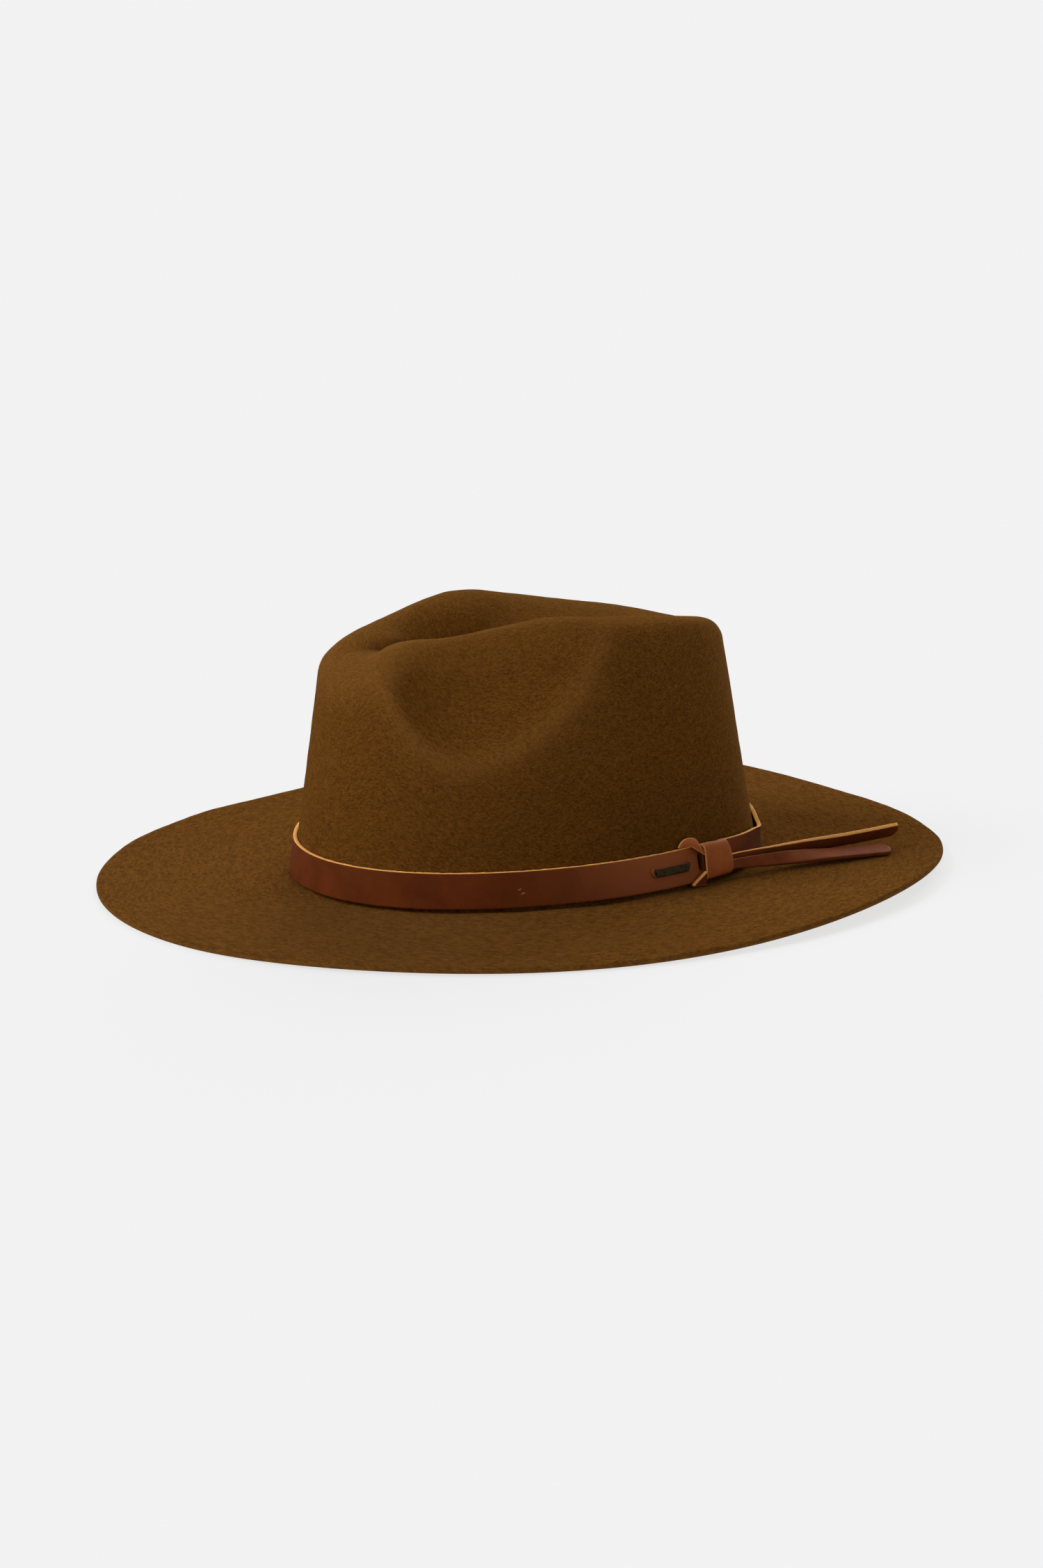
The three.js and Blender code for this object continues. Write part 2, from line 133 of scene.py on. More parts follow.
half_length = HEAD_LENGTH / 2
half_width = HEAD_WIDTH / 2
top_half_length = TOP_LENGTH / 2
top_half_width = TOP_WIDTH / 2
brim_half_length = BRIM_LENGTH / 2
brim_half_width = BRIM_WIDTH / 2
brim_depth = brim_half_length - half_length
band_foot = FELT + (BREAK_RADIUS - FELT) / 4 + CLEARANCE
band_inner = CLEARANCE
band_outer = CLEARANCE + LEATHER
on_band = band_outer + CLEARANCE

# Sections of the crown's top from front to back, as in the solids: along is a share of the half
# length of the top, height of CROWN_HEIGHT, crest of its half width, crease of CREASE_DEPTH and
# tilt of TOP_TILT, by which the wearer's left side lies higher.
TOP_SECTIONS = [
    {"along": -1.00, "height": 0.950, "crest": 0.50, "crease": 0.26, "tilt": 0.00},
    {"along": -0.80, "height": 0.972, "crest": 0.58, "crease": 0.56, "tilt": 0.00},
    {"along": -0.57, "height": 0.962, "crest": 0.66, "crease": 0.86, "tilt": -0.22},
    {"along": -0.34, "height": 0.989, "crest": 0.72, "crease": 1.00, "tilt": 0.00},
    {"along": -0.11, "height": 1.005, "crest": 0.74, "crease": 0.95, "tilt": 0.27},
    {"along": 0.23, "height": 0.971, "crest": 0.72, "crease": 0.75, "tilt": 0.52},
    {"along": 0.57, "height": 0.920, "crest": 0.66, "crease": 0.50, "tilt": 0.80},
    {"along": 0.85, "height": 0.872, "crest": 0.58, "crease": 0.25, "tilt": 0.82},
    {"along": 1.00, "height": 0.836, "crest": 0.50, "crease": 0.10, "tilt": 0.80},
]

# Waves of the brim's edge, as shares of EDGE_WAVE, by how often each goes round the head.
EDGE_WAVES = [
    {"times": 1, "front": -0.55, "side": -0.07},
    {"times": 2, "front": -0.33, "side": 0.35},
    {"times": 3, "front": 0.55, "side": 0.00},
    {"times": 4, "front": -0.33, "side": 0.00},
]

# The pinch in each side of the crown: its deepest place and its reach from there, as shares.
PINCH = {"along": -0.66, "rise": 0.97, "ahead": 0.30, "behind": 0.76, "above": 0.40, "below": 0.46}

# The band is painted lighter round the badge, as painted light, by degrees of turn. The slit in front of
# the keeper is a groove painted dark as painted shade, in millimetres along from KEEPER_TURN and up from the
# band's foot.
LIT_STRETCH = {"turn": 99, "spread": 21}
SLIT = {"along": -8.0, "half_width": 1.3, "up": 8.0, "half_height": 3.9, "depth": 1.3}
# Share of the raw edges' lighter colour that the band's foot edge keeps: it is painted darker than the top
# edge, as painted shade.
FOOT_RAW = 0.12

# Two small lifted slivers in the face of the band
NICK = {"length": 1.5, "height": 0.6, "thickness": 0.35, "slope": 0.25, "proud": 0.02,
        "end": 0.2, "uneven": 0.05, "points": 13}
NICKS = [
    {"turn": 62.25, "up": 7.5, "seed": 20.0},
    {"turn": 63.0, "up": 5.8, "seed": 21.0},
]

# The wrap round the knot. KEEPER_ARC is half its round, in half turns. KEEPER_REACH is how far it
# stands out from the band: at its foot and its top in front, and behind, where the two ends raise it,
# less a fall towards its top. It grows from start to end, which are shares of the width.
KEEPER_WIDTH = 14
KEEPER_INSET = 0.6
KEEPER_ROOM = 0.1
KEEPER_ROUNDNESS = 0.4
KEEPER_ARC = 0.496
KEEPER_REACH = {"foot": 1.0, "top": 2.2, "behind": 4.5, "fall": 0.9, "start": -0.62, "end": 0.55}

# The fold of the strap that stands above the band and runs into the keeper, in millimetres: along
# from LOOP_TURN, top and foot above the band's top edge, and out from the crown.
LOOP_SECTIONS = [
    {"along": -4.4, "top": 0.8, "foot": 0.35, "out": 1.3},
    {"along": -3.2, "top": 2.1, "foot": 0.35, "out": 1.4},
    {"along": -1.0, "top": 3.5, "foot": 0.35, "out": 1.8},
    {"along": 0.9, "top": 3.8, "foot": 0.20, "out": 2.6},
    {"along": 2.6, "top": 3.6, "foot": -1.5, "out": 3.0},
    {"along": 4.6, "top": 2.7, "foot": -3.0, "out": 3.1},
    {"along": 6.8, "top": -0.4, "foot": -4.2, "out": 2.9},
    {"along": 9.5, "top": -2.8, "foot": -5.4, "out": 2.8},
]
LOOP_LEAST_WIDTH = 0.5
LOOP_SWELL = {"amount": 0.5, "start": 4, "end": 8}
LOOP_LEAN = {"amount": 0.30, "start": -4, "end": 4}
LOOP_RAW = 0.6

# The corner of strap under the keeper, from its tip to the keeper: along from KEEPER_TURN, top and
# foot above the band's foot, and the inner face out from the crown.
TUCK = {"along": (-15.4, -8.3), "top": (-0.5, 4.0), "foot": (-1.3, -1.8), "inner": (2.4, 3.0),
        "thickness": 1.7, "curve": 0.9, "lean": 0.3, "uneven": 0.06, "seed": 6.0}

# The two free ends of the strap. swing and lean are in degrees, and root_up is a share of the band's
# height. A bend or a free stretch starts at a share of the keeper's width or the tail's length.
TAIL_THICKNESS = 1.7
TAIL_WIDTH = 8
TAIL_ROOT_WIDTH = 4.2
TAIL_TIP_WIDTH = 2.2
TAIL_ROOT = 0.3
TAIL_START = 7.5
TAIL_BEND = 0.8
TAIL_FREE = 0.75
TAIL_UNEVEN = 0.14
# edge is the share of the raw edges' lighter colour that a tail keeps: the lower tail's raw edges are painted
# dark, as painted shade under the upper tail.
TAILS = {
    "upper": {"length": 102, "out": 3.3, "root_up": 0.36, "bend_late": 4, "swing": 21, "lean": 40,
              "lift": 2.2, "rise": 2.0, "tip": 1.0, "edge": 1.0, "seed": 11.0},
    "lower": {"length": 90, "out": 4.9, "root_up": 0.22, "bend_late": 0, "swing": 27, "lean": -75,
              "lift": 0.4, "rise": 0.0, "tip": 2.5, "edge": 0.05, "seed": 13.0},
}

# The badge: a bare plate, and a bent wire round each of its ends. wire is a share of the bracket's size.
BADGE_LENGTH = 17.4
BADGE_HEIGHT = 3.3
BADGE_THICKNESS = 0.9
BADGE_UP = 7.2
BADGE_CORNER = 1.0
BADGE_END = 0.8
BADGE_UNEVEN = 0.05
BADGE_SEED = 15.0
BRACKET = {"length": 1.7, "height": 3.9, "wire": 0.17, "half_depth": 0.3, "arc": 0.62, "above": 0.6}

# How far the band's top edge sinks and stands off behind the knot, in millimetres, by degrees of turn.
BAND_SINKS = [
    {"turn": 112, "sink": 0.0, "spread": 0.0},
    {"turn": 122, "sink": 1.0, "spread": 0.0},
    {"turn": 132, "sink": 2.3, "spread": 0.3},
    {"turn": 142, "sink": 3.5, "spread": 1.0},
    {"turn": 149, "sink": 4.9, "spread": 1.6},
    {"turn": 154, "sink": 3.6, "spread": 0.5},
    {"turn": 160, "sink": 1.4, "spread": 0.0},
    {"turn": 170, "sink": 0.0, "spread": 0.0},
]


# Small helpers for arrays of points

def lerp(start, end, share):
    return start + (end - start) * share


def smoothstep(value, low, high):
    share = np.clip((value - low) / (high - low), 0, 1)
    return share * share * (3 - 2 * share)


def unit(vectors):
    return vectors / np.linalg.norm(vectors, axis=-1, keepdims=True)


def points_of(x, y, z):
    return np.stack(np.broadcast_arrays(x, y, z), axis=-1).astype(float)


def bump(offset, reach_before, reach_behind):
    """One at the middle, zero at a reach before or behind it, and smooth between."""
    share = np.abs(offset) / np.where(offset < 0, reach_before, reach_behind)
    return np.cos(np.minimum(share, 1) * np.pi / 2) ** 2


def column_curve(column, rows=TOP_SECTIONS, place_column="along"):
    """The smooth curve through one column of a table."""
    places = np.array([row[place_column] for row in rows])
    values = np.array([row[column] for row in rows])
    last = len(places) - 1

    def evaluate(place):
        place = np.clip(place, places[0], places[-1])
        after = np.clip(np.searchsorted(places, place, side="right"), 1, last)
        before = after - 1
        start, end = places[before], places[after]
        previous = np.where(before == 0, after, before - 1)
        following = np.where(after == last, before, np.minimum(after + 1, last))
        pull_before = (end - start) / 2 / (start - places[previous])
        pull_after = (end - start) / 2 / (places[following] - end)
        p = (place - start) / (end - start)
        weights = (
            (values[previous], -pull_before * p**3 + 2 * pull_before * p**2 - pull_before * p),
            (values[before], (1 + pull_before) * p**3 + (-1.5 - 2 * pull_before) * p**2
             + (-0.5 + pull_before) * p + 1),
            (values[after], (-1 - pull_after) * p**3 + (1.5 + pull_after) * p**2 + 0.5 * p),
            (values[following], pull_after * p**3 - pull_after * p**2),
        )
        return sum(value * weight for value, weight in weights)

    return evaluate


top_height = column_curve("height")
top_crest = column_curve("crest")
top_crease = column_curve("crease")
top_tilt = column_curve("tilt")


# The felt's inner face, by turn and share

def soft_floor(value, blend):
    """Zero below zero, with a soft start above it."""
    soft = np.where(value < 2 * blend, value * value / (4 * blend), value - blend)
    return np.where(value <= 0, 0, soft)


def break_height(turn):
    return BREAK_LIFT - BREAK_SIDE_RISE * np.cos(2 * turn)


def edge_height(turn):
    share = 0
    for wave in EDGE_WAVES:
        share = share + wave["front"] * np.cos(wave["times"] * turn)
        share = share + wave["side"] * np.sin(wave["times"] * turn)
    return EDGE_LIFT + EDGE_WAVE * share


def top_surface(x, y):
    along = (y - CROWN_SET_BACK) / top_half_length
    across = np.abs(x) / top_half_width
    crease = bump(across, 1, CREASE_SPREAD * top_crest(along))
    fall = SIDE_FALL * across**SIDE_ROUNDNESS - TOP_TILT * top_tilt(along) * x / top_half_width
    return CROWN_HEIGHT * top_height(along) - fall - CREASE_DEPTH * top_crease(along) * crease


def pinched(points):
    along = (points[..., 1] - CROWN_SET_BACK) / top_half_length - PINCH["along"]
    rise = points[..., 2] / CROWN_HEIGHT - PINCH["rise"]
    power = np.where(along < 0, PINCH_SQUARE, PINCH_SLANT)
    along = np.abs(along) / np.where(along < 0, PINCH["ahead"], PINCH["behind"])
    rise = np.abs(rise) / np.where(rise < 0, PINCH["below"], PINCH["above"])
    apart = (along**power + rise**power) ** (2 / power)
    amount = PINCH_DEPTH * soft_floor(1 - apart, PINCH_RIM) / (1 - PINCH_RIM)
    fade = smoothstep(np.abs(points[..., 0]), 0, PINCH_FADE * top_half_width)
    points = points.copy()
    points[..., 0] -= np.sign(points[..., 0]) * amount * fade
    return points


def top_point(turn, share):
    x = share * top_half_width * np.sin(turn)
    y = CROWN_SET_BACK - share * top_half_length * np.cos(turn)
    return points_of(x, y, top_surface(x, y))


def foot_point(turn):
    x = half_width * np.sin(turn)
    y = CROWN_SET_BACK - half_length * np.cos(turn)
    return points_of(x, y, break_height(turn))


def wall_point(turn, share):
    return lerp(top_point(turn, 1.0), foot_point(turn), np.asarray(share)[..., None])


def corner_size(turn):
    return lerp(CORNER_BACK, CORNER_FRONT, ((1 + np.cos(turn)) / 2) ** CORNER_TURN)


def bend(start, corner, end, share):
    share = share[..., None]
    return lerp(lerp(start, corner, share), lerp(corner, end, share), share)


def brim_point(turn, share):
    x = lerp(half_width, brim_half_width, share) * np.sin(turn)
    middle = lerp(CROWN_SET_BACK, 0, share)
    y = middle - lerp(half_length, brim_half_length, share) * np.cos(turn)
    height = lerp(break_height(turn), edge_height(turn), share**BRIM_CURL)
    return points_of(x, y, soft_floor(height, REST_BLEND))


def shares_to_one(rings):
    return (np.arange(rings) + 1)[None, :] / rings


def inner_grid():
    """The felt's inner face as rows of turns and columns from the top's middle to the edge."""
    turn = (2 * np.pi * np.arange(AROUND) / AROUND)[:, None]
    rim = top_point(turn, 1.0)
    wall_length = np.linalg.norm(wall_point(turn, 1.0) - rim, axis=-1)
    radius = np.hypot(rim[..., 0], rim[..., 1] - CROWN_SET_BACK)
    top_cut = 1 - corner_size(turn) / radius
    wall_cut = corner_size(turn) / wall_length
    wall_end = 1 - BREAK_RADIUS / wall_length
    brim_start = BREAK_RADIUS / brim_depth
    stretches = [
        pinched(top_point(turn, top_cut * shares_to_one(TOP_RINGS))),
        pinched(bend(top_point(turn, top_cut), rim, wall_point(turn, wall_cut), shares_to_one(CORNER_RINGS))),
        pinched(wall_point(turn, lerp(wall_cut, wall_end, shares_to_one(WALL_RINGS)))),
        bend(wall_point(turn, wall_end), brim_point(turn, 0.0), brim_point(turn, brim_start),
             shares_to_one(BREAK_RINGS)),
        brim_point(turn, lerp(brim_start, 1.0, shares_to_one(BRIM_RINGS))),
    ]
    return np.concatenate(stretches, axis=1)


def grid_normals(grid):
    down = np.gradient(grid, axis=1)
    around = np.roll(grid, -1, axis=0) - np.roll(grid, 1, axis=0)
    return unit(np.cross(down, around))


def ridges_of(grid, normals):
    """How far each place of the felt stands out from a smoothed felt, in millimetres."""
    smooth = grid
    for _ in range(RIDGE_ROUNDS):
        padded = np.concatenate([smooth[:, :1], smooth, smooth[:, -1:]], axis=1)
        near = np.roll(smooth, 1, axis=0) + np.roll(smooth, -1, axis=0) + padded[:, :-2] + padded[:, 2:]
        smooth = smooth / 2 + near / 8
    return ((grid - smooth) * normals).sum(axis=-1)


# Meshes

def add_mesh(name, points, faces, material, attributes=None):
    """A smooth mesh from points in millimetres, with float attributes on its points."""
    data = bpy.data.meshes.new(name)
    data.from_pydata((np.asarray(points) * MM).tolist(), [], faces)
    for key, values in (attributes or {}).items():
        data.attributes.new(key, "FLOAT", "POINT").data.foreach_set("value", np.asarray(values, np.float32))
    data.shade_smooth()
    data.materials.append(material)
    data.update()
    piece = bpy.data.objects.new(name, data)
    bpy.context.scene.collection.objects.link(piece)
    return piece


def dress(piece, nodes):
    """Puts a finished piece in the place of its solids."""
    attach(piece, "root")
    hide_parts(*nodes)
    return piece


def ring_faces(rows, columns, closed_columns):
    """Quads of a grid whose rows close on themselves, and whose columns may."""
    faces = []
    last = columns if closed_columns else columns - 1
    for row in range(rows):
        here, there = row * columns, (row + 1) % rows * columns
        for column in range(last):
            after = (column + 1) % columns
            faces.append((here + column, here + after, there + after, there + column))
    return faces


def row_faces(rows, columns):
    """Quads and two end caps of a row of closed sections."""
    faces = []
    for row in range(rows - 1):
        here, there = row * columns, (row + 1) * columns
        for column in range(columns):
            after = (column + 1) % columns
            faces.append((here + column, here + after, there + after, there + column))
    faces.append(tuple(range(columns - 1, -1, -1)))
    faces.append(tuple(range((rows - 1) * columns, rows * columns)))
    return faces


def rough(points, normals, scale, amount, seed):
    """Moves points along their normals by a smooth unevenness with waves of about scale."""
    offset = Vector((seed, 0, 0))
    flat = points.reshape(-1, 3)
    heights = np.array([noise.noise(Vector(p) / scale + offset) for p in flat])
    return points + normals * (amount * heights).reshape(points.shape[:-1])[..., None]


def felt_body(material):
    """The felt as one closed shell: its outer face, its cut edge, its inner face and two middles."""
    inner = inner_grid()
    normals = grid_normals(inner)
    outer = inner + normals * FELT
    outer = rough(outer, normals, **FELT_WAVES)
    outer = rough(outer, normals, **FELT_LUMPS)
    edge_out = unit(inner[:, -1] - inner[:, -1 - EDGE_RUN])[:, None]
    share = (np.arange(CUT_RINGS) + 1)[None, :] / (CUT_RINGS + 1)
    cut = lerp(outer[:, -1:], inner[:, -1:], share[..., None])
    cut = cut + edge_out * CUT_BULGE * np.sqrt(np.sin(np.pi * share))[..., None]
    lining = inner[:, ::-1][:, ::LINING_STEP]
    profiles = np.concatenate([outer, cut, lining], axis=1)
    rows, columns = profiles.shape[:2]
    steps = np.linalg.norm(np.diff(profiles, axis=1), axis=-1)
    down = np.concatenate([np.zeros((rows, 1)), np.cumsum(steps, axis=1)], axis=1)
    face_rings = outer.shape[1]
    raw = np.zeros((rows, columns))
    raw[:, face_rings:face_rings + CUT_RINGS] = 1
    # How far the felt stands out, which sets where the painted highlight and the painted shade go.
    ridge = np.zeros((rows, columns))
    ridge[:, :face_rings] = ridges_of(inner, normals)
    ridge[:, face_rings - RIDGELESS_RINGS:] = 0
    under = top_point(0.0, 0.0)
    top = under + np.array([0, 0, FELT])
    points = np.concatenate([profiles.reshape(-1, 3), [top, under]])
    faces = ring_faces(rows, columns, False)
    first, second = rows * columns, rows * columns + 1
    for row in range(rows):
        after = (row + 1) % rows
        faces.append((first, row * columns, after * columns))
        faces.append((second, after * columns + columns - 1, row * columns + columns - 1))
    attributes = {
        "down": np.append(down.ravel(), [0, down.max()]) * MM,
        "raw": np.append(raw.ravel(), [0, 0]),
        "ridge": np.append(ridge.ravel(), [0, 0]),
    }
    return dress(add_mesh("felt_shell", points, faces, material, attributes), ["felt_body"])


# Leather

def crown_frame(turn):
    """Origin on the outside of the crown's foot, and the directions out, along and up."""
    foot, head = wall_point(turn, 1.0), wall_point(turn, 0.0)
    up = unit(head - foot)
    along = unit(wall_point(turn + TURN_STEP, 1.0) - wall_point(turn - TURN_STEP, 1.0))
    out = unit(np.cross(along, up))
    side = unit(np.cross(up, out))
    return {"origin": foot + out * FELT, "out": out, "up": up, "along": side}


def crown_place(crown, out, along, up):
    """Places some millimetres out from the crown, along it, and up from the band's foot."""
    out, along, up = (np.asarray(value, float)[..., None] for value in (out, along, up))
    return crown["origin"] + crown["out"] * out + crown["along"] * along + crown["up"] * (band_foot + up)


def round_band(turn, along, out, up):
    """Places that lie some millimetres further round the band than a turn in degrees."""
    turn = math.radians(turn)
    speed = math.hypot(half_width * math.cos(turn), half_length * math.sin(turn))
    return crown_place(crown_frame(turn + np.asarray(along) / speed), out, 0.0, up)


def strap_outline(width, thickness, face_points=FACE_POINTS):
    """A rounded strap section: across and through places, and how raw each place is.

    It starts at the far end of the inner face and goes round by way of the far edge."""
    places = []
    corner = min(STRAP_CORNER, CORNER_SHARE * thickness)
    half_across, half_through = width / 2 - corner, thickness / 2 - corner
    corners = ((1, -1, -90), (1, 1, 0), (-1, 1, 90), (-1, -1, 180))
    for number, (side_across, side_through, first) in enumerate(corners):
        before_edge = number in (0, 2)
        for step in range(CORNER_POINTS + 1):
            angle = math.radians(first + 90 * step / CORNER_POINTS)
            share = step / CORNER_POINTS
            places.append((side_across * half_across + corner * math.cos(angle),
                           side_through * half_through + corner * math.sin(angle),
                           share if before_edge else 1 - share))
        count = SIDE_POINTS if before_edge else face_points
        next_across, next_through, _ = corners[(number + 1) % 4]
        end_angle = math.radians(first + 90)
        for step in range(1, count + 1):
            share = step / (count + 1)
            across = lerp(side_across, next_across, share) * half_across + corner * math.cos(end_angle)
            through = lerp(side_through, next_through, share) * half_through + corner * math.sin(end_angle)
            places.append((across, through, 1.0 if before_edge else 0.0))
    return np.array(places)


def section_part(sections, raws):
    """The points, faces and rawness of a row of closed sections."""
    points = np.asarray(sections)
    rows, columns = points.shape[:2]
    raw = np.broadcast_to(raws, (rows, columns)).ravel()
    return {"points": points.reshape(-1, 3), "faces": row_faces(rows, columns), "raw": raw}


def strap_part(middles, across, through, widths, thickness, uneven, seed):
    """A strap along a row of middles, with rounded sections and slightly uneven edges."""
    sections, raws = [], []
    for middle, side, face, width in zip(middles, across, through, widths):
        outline = strap_outline(width, thickness)
        sections.append(middle + side * outline[:, :1] + face * outline[:, 1:2])
        raws.append(outline[:, 2])
    points = np.array(sections)
    away = unit(points - np.asarray(middles)[:, None])
    return section_part(rough(points, away, STRAP_WAVE, uneven, seed), raws)


def add_parts(name, parts, material):
    """One mesh from several parts, each with its points, faces and point attributes."""
    points, faces = [], []
    attributes = {key: [] for key in parts[0] if key not in ("points", "faces")}
    count = 0
    for part in parts:
        points.append(part["points"])
        faces.extend(tuple(count + corner for corner in face) for face in part["faces"])
        count += len(part["points"])
        for key, values in attributes.items():
            values.append(part.get(key, np.zeros(len(part["points"]))))
    joined = {key: np.concatenate(values) for key, values in attributes.items()}
    return add_mesh(name, np.concatenate(points), faces, material, joined)


def band_strap():
    """The strap round the foot of the crown, with its stretch round the badge painted lighter as painted
    light, and its slit painted dark as painted shade.
    """
    turn = (2 * np.pi * np.arange(BAND_AROUND) / BAND_AROUND)[:, None]
    degrees = np.degrees(turn)
    crown = crown_frame(turn)
    outline = strap_outline(BAND_HEIGHT, LEATHER, BAND_FACE_POINTS)[::-1]
    across, through, raw = (outline[None, :, column] for column in range(3))
    share = 0.5 + across / BAND_HEIGHT
    sink = column_curve("sink", BAND_SINKS, "turn")(degrees)
    spread = column_curve("spread", BAND_SINKS, "turn")(degrees)
    up = share * (BAND_HEIGHT - sink)
    out = (band_inner + band_outer) / 2 + through + spread * share**2
    points = crown_place(crown, out, 0.0, up)
    rows, columns = points.shape[:2]
    face = np.broadcast_to(crown["out"], points.shape)
    edge = np.broadcast_to(crown["up"], points.shape) * np.sign(across)[..., None]
    raw = np.broadcast_to(raw, (rows, columns))
    outside = np.broadcast_to(through > 0, (rows, columns))
    points = np.where(outside[..., None], rough(points, face, **BAND_WAVES), points)
    aside = (turn - math.radians(KEEPER_TURN)) * half_length - SLIT["along"]
    above = up - SLIT["up"]
    # The slit's groove, which is also painted near black as painted shade
    slit = np.exp(-((aside / SLIT["half_width"]) ** 4) - (above / SLIT["half_height"]) ** 6) * outside
    points = points - face * (slit * SLIT["depth"])[..., None]
    points = rough(points, edge * raw[..., None], **BAND_FRAY)
    # The foot edge is painted darker than the top edge: painted shade.
    raw = raw * np.where(share > 0.5, 1.0, FOOT_RAW)
    # The stretch round the badge is painted lighter: painted light.
    lit_stretch = np.exp(-(((degrees - LIT_STRETCH["turn"]) / LIT_STRETCH["spread"]) ** 2))
    lit_stretch = np.broadcast_to(lit_stretch, (rows, columns))
    return {"points": points.reshape(-1, 3), "faces": ring_faces(rows, columns, True),
            "raw": raw.ravel(), "lit_stretch": lit_stretch.ravel(), "slit": slit.ravel()}


def nick(place):
    """A small lifted sliver of raw leather on the face of the band."""
    count = NICK["points"]
    share = np.linspace(-1, 1, count)
    along = share * NICK["length"] / 2
    up = place["up"] + NICK["slope"] * along
    middles = round_band(place["turn"], along, band_outer + NICK["proud"], up)
    crown = crown_frame(np.radians(place["turn"]))
    widths = NICK["height"] * np.maximum(np.sqrt(1 - share**2), NICK["end"])
    return strap_part(middles, [crown["up"]] * count, [crown["out"]] * count, widths,
                      NICK["thickness"], NICK["uneven"], place["seed"])


def hat_band(material):
    parts = [band_strap()] + [nick(place) for place in NICKS]
    return dress(add_parts("band_strap", parts, material), ["hat_band"])


def bulged_grid(angles, outline, out_at, up_at):
    """A strap laid over the band along a row of angles, whose bulge may differ along its width."""
    angle = np.asarray(angles)[:, None]
    along = -outline[None, :, 0]
    run_out = out_at(angle + ANGLE_STEP, along) - out_at(angle - ANGLE_STEP, along)
    run_up = up_at(angle + ANGLE_STEP) - up_at(angle - ANGLE_STEP)
    length = np.hypot(run_out, run_up)
    out = out_at(angle, along) + outline[None, :, 1] * run_up / length
    up = up_at(angle) - outline[None, :, 1] * run_out / length
    return out, np.broadcast_to(along, out.shape), up


def knot_keeper(material):
    """The wrap round the knot: close to the band in front, and raised behind by the two ends."""
    outline = strap_outline(KEEPER_WIDTH, THIN_LEATHER, KEEPER_FACE_POINTS)

    def out_at(angle, along):
        high = 0.5 + 0.5 * np.sin(angle)
        front = lerp(KEEPER_REACH["foot"], KEEPER_REACH["top"], high)
        behind = KEEPER_REACH["behind"] - KEEPER_REACH["fall"] * high**3
        share = smoothstep(along, KEEPER_REACH["start"] * KEEPER_WIDTH, KEEPER_REACH["end"] * KEEPER_WIDTH)
        return on_band + KEEPER_ROOM + lerp(front, behind, share) * np.cos(angle) ** KEEPER_ROUNDNESS

    def up_at(angle):
        return BAND_HEIGHT / 2 + (BAND_HEIGHT / 2 - KEEPER_INSET) * np.sin(angle)

    angles = np.linspace(-KEEPER_ARC * math.pi, KEEPER_ARC * math.pi, KEEPER_POINTS)
    out, along, up = bulged_grid(angles, outline, out_at, up_at)
    points = round_band(KEEPER_TURN, along, out, up)
    face = crown_frame(np.radians(KEEPER_TURN))["out"]
    points = rough(points, np.broadcast_to(face, points.shape), **KEEPER_WAVES)
    part = section_part(points, outline[None, :, 2])
    return dress(add_parts("keeper_wrap", [part], material), ["knot_keeper"])


def knot_loop(material):
    """The fold of the strap, swollen where it stands free and leaning over towards the keeper."""
    along = np.linspace(LOOP_SECTIONS[0]["along"], LOOP_SECTIONS[-1]["along"], LOOP_POINTS)
    top, foot, out = (column_curve(column, LOOP_SECTIONS)(along) for column in ("top", "foot", "out"))
    sections, raws = [], []
    for place, high, low, proud in zip(along, top, foot, out):
        outline = strap_outline(max(high - low, LOOP_LEAST_WIDTH), THIN_LEATHER)
        across = outline[:, 0]
        free = 1 - smoothstep(place, LOOP_SWELL["start"], LOOP_SWELL["end"])
        swell = LOOP_SWELL["amount"] * free * (1 - (2 * across / (high - low)) ** 2)
        over = smoothstep(place, LOOP_LEAN["start"], LOOP_LEAN["end"])
        lean = LOOP_LEAN["amount"] * (across - (high - low) / 2) * over
        up = BAND_HEIGHT + (high + low) / 2 + across
        sections.append(round_band(LOOP_TURN, place, proud + outline[:, 1] + swell - lean, up))
        raws.append(outline[:, 2] * LOOP_RAW)
    part = section_part(sections, raws)
    return dress(add_parts("loop_fold", [part], material), ["knot_loop"])


def knot_tuck(material):
    """The corner of strap under the front of the keeper, with its raw edge running up to it."""
    share = np.linspace(0, 1, TUCK_POINTS)
    along = lerp(*TUCK["along"], share)
    top = lerp(*TUCK["top"], share ** TUCK["curve"])
    foot = lerp(*TUCK["foot"], share)
    out = lerp(*TUCK["inner"], share) + TUCK["thickness"] / 2
    middles = round_band(KEEPER_TURN, along, out, (top + foot) / 2)
    crown = crown_frame(np.radians(KEEPER_TURN))
    across = [unit(crown["up"] + TUCK["lean"] * crown["out"])] * TUCK_POINTS
    through = [unit(crown["out"] - TUCK["lean"] * crown["up"])] * TUCK_POINTS
    part = strap_part(middles[::-1], across, through, (top - foot)[::-1],
                      TUCK["thickness"], TUCK["uneven"], TUCK["seed"])
    return dress(add_parts("tuck_corner", [part], material), ["knot_tuck"])


def brim_share_at(x, y):
    """The share of the way from the brim's break to its edge, and the turn, seen from above."""
    def outward(share):
        across = x / lerp(half_width, brim_half_width, share)
        ahead = (lerp(CROWN_SET_BACK, 0, share) - y) / lerp(half_length, brim_half_length, share)
        return across, ahead

    low, high = 0.0, 1.0
    for _ in range(HALVINGS):
        share = (low + high) / 2
        if math.hypot(*outward(share)) > 1:
            low = share
        else:
            high = share
    return low, math.atan2(*outward(low))


def brim_top(x, y):
    share, turn = brim_share_at(x, y)
    return float(brim_point(np.array(turn), share)[2]) + FELT


